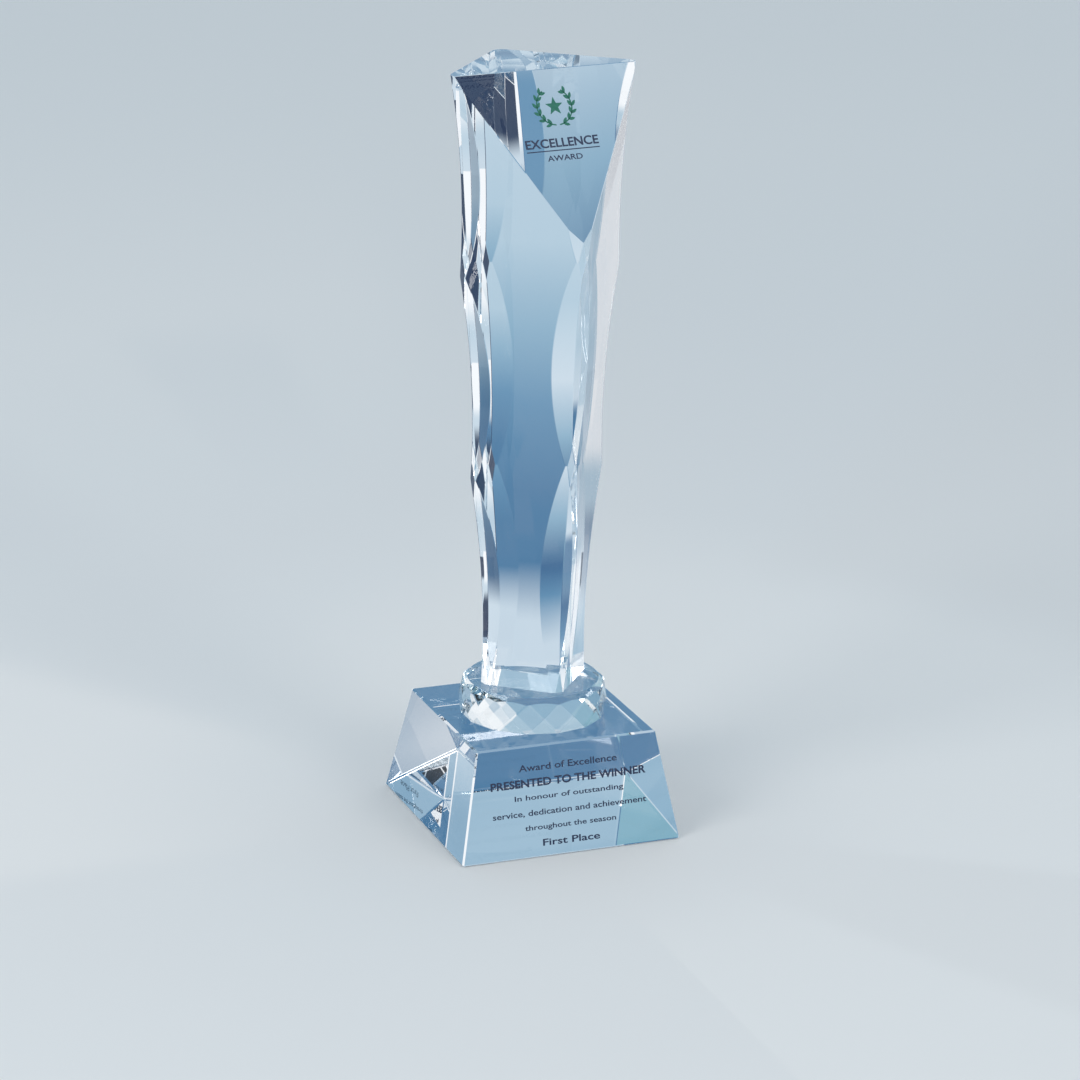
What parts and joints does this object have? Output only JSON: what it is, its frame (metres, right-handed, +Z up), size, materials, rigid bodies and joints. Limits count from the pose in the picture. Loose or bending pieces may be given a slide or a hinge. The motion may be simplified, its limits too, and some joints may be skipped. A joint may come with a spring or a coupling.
{
  "type": "crystal award",
  "caption": "Clear crystal award: a flared, hollow-cut square column with a triangle facet, on a gem-cut disc and a square tapered base with a filled inscription.",
  "frame": {"origin": "centre of the underside of the base, on the surface that the award stands on", "axes": "+Z up along the column, -Y out of the inscribed front face of the base, +X to the right when facing the inscription"},
  "size_m": [0.08, 0.08, 0.265],
  "materials": {
    "crystal": "water-clear optical crystal, polished on every face",
    "adhesive": "clear cured adhesive film",
    "navy_fill": "dark navy colour fill, satin",
    "green_fill": "deep green colour fill, satin"
  },
  "bodies": {
    "root": {"base_block": "crystal", "lower_bond": "adhesive", "gem_disc": "crystal", "upper_bond": "adhesive", "column": "crystal", "inscription_line_1": "navy_fill", "inscription_line_2": "navy_fill", "inscription_line_3": "navy_fill", "inscription_line_4": "navy_fill", "inscription_line_5": "navy_fill", "inscription_line_6": "navy_fill", "title_line": "navy_fill", "title_rule": "navy_fill", "subtitle_line": "navy_fill", "emblem_wreath_left": "green_fill", "emblem_wreath_right": "green_fill", "emblem_star": "green_fill"}
  },
  "joints": []
}
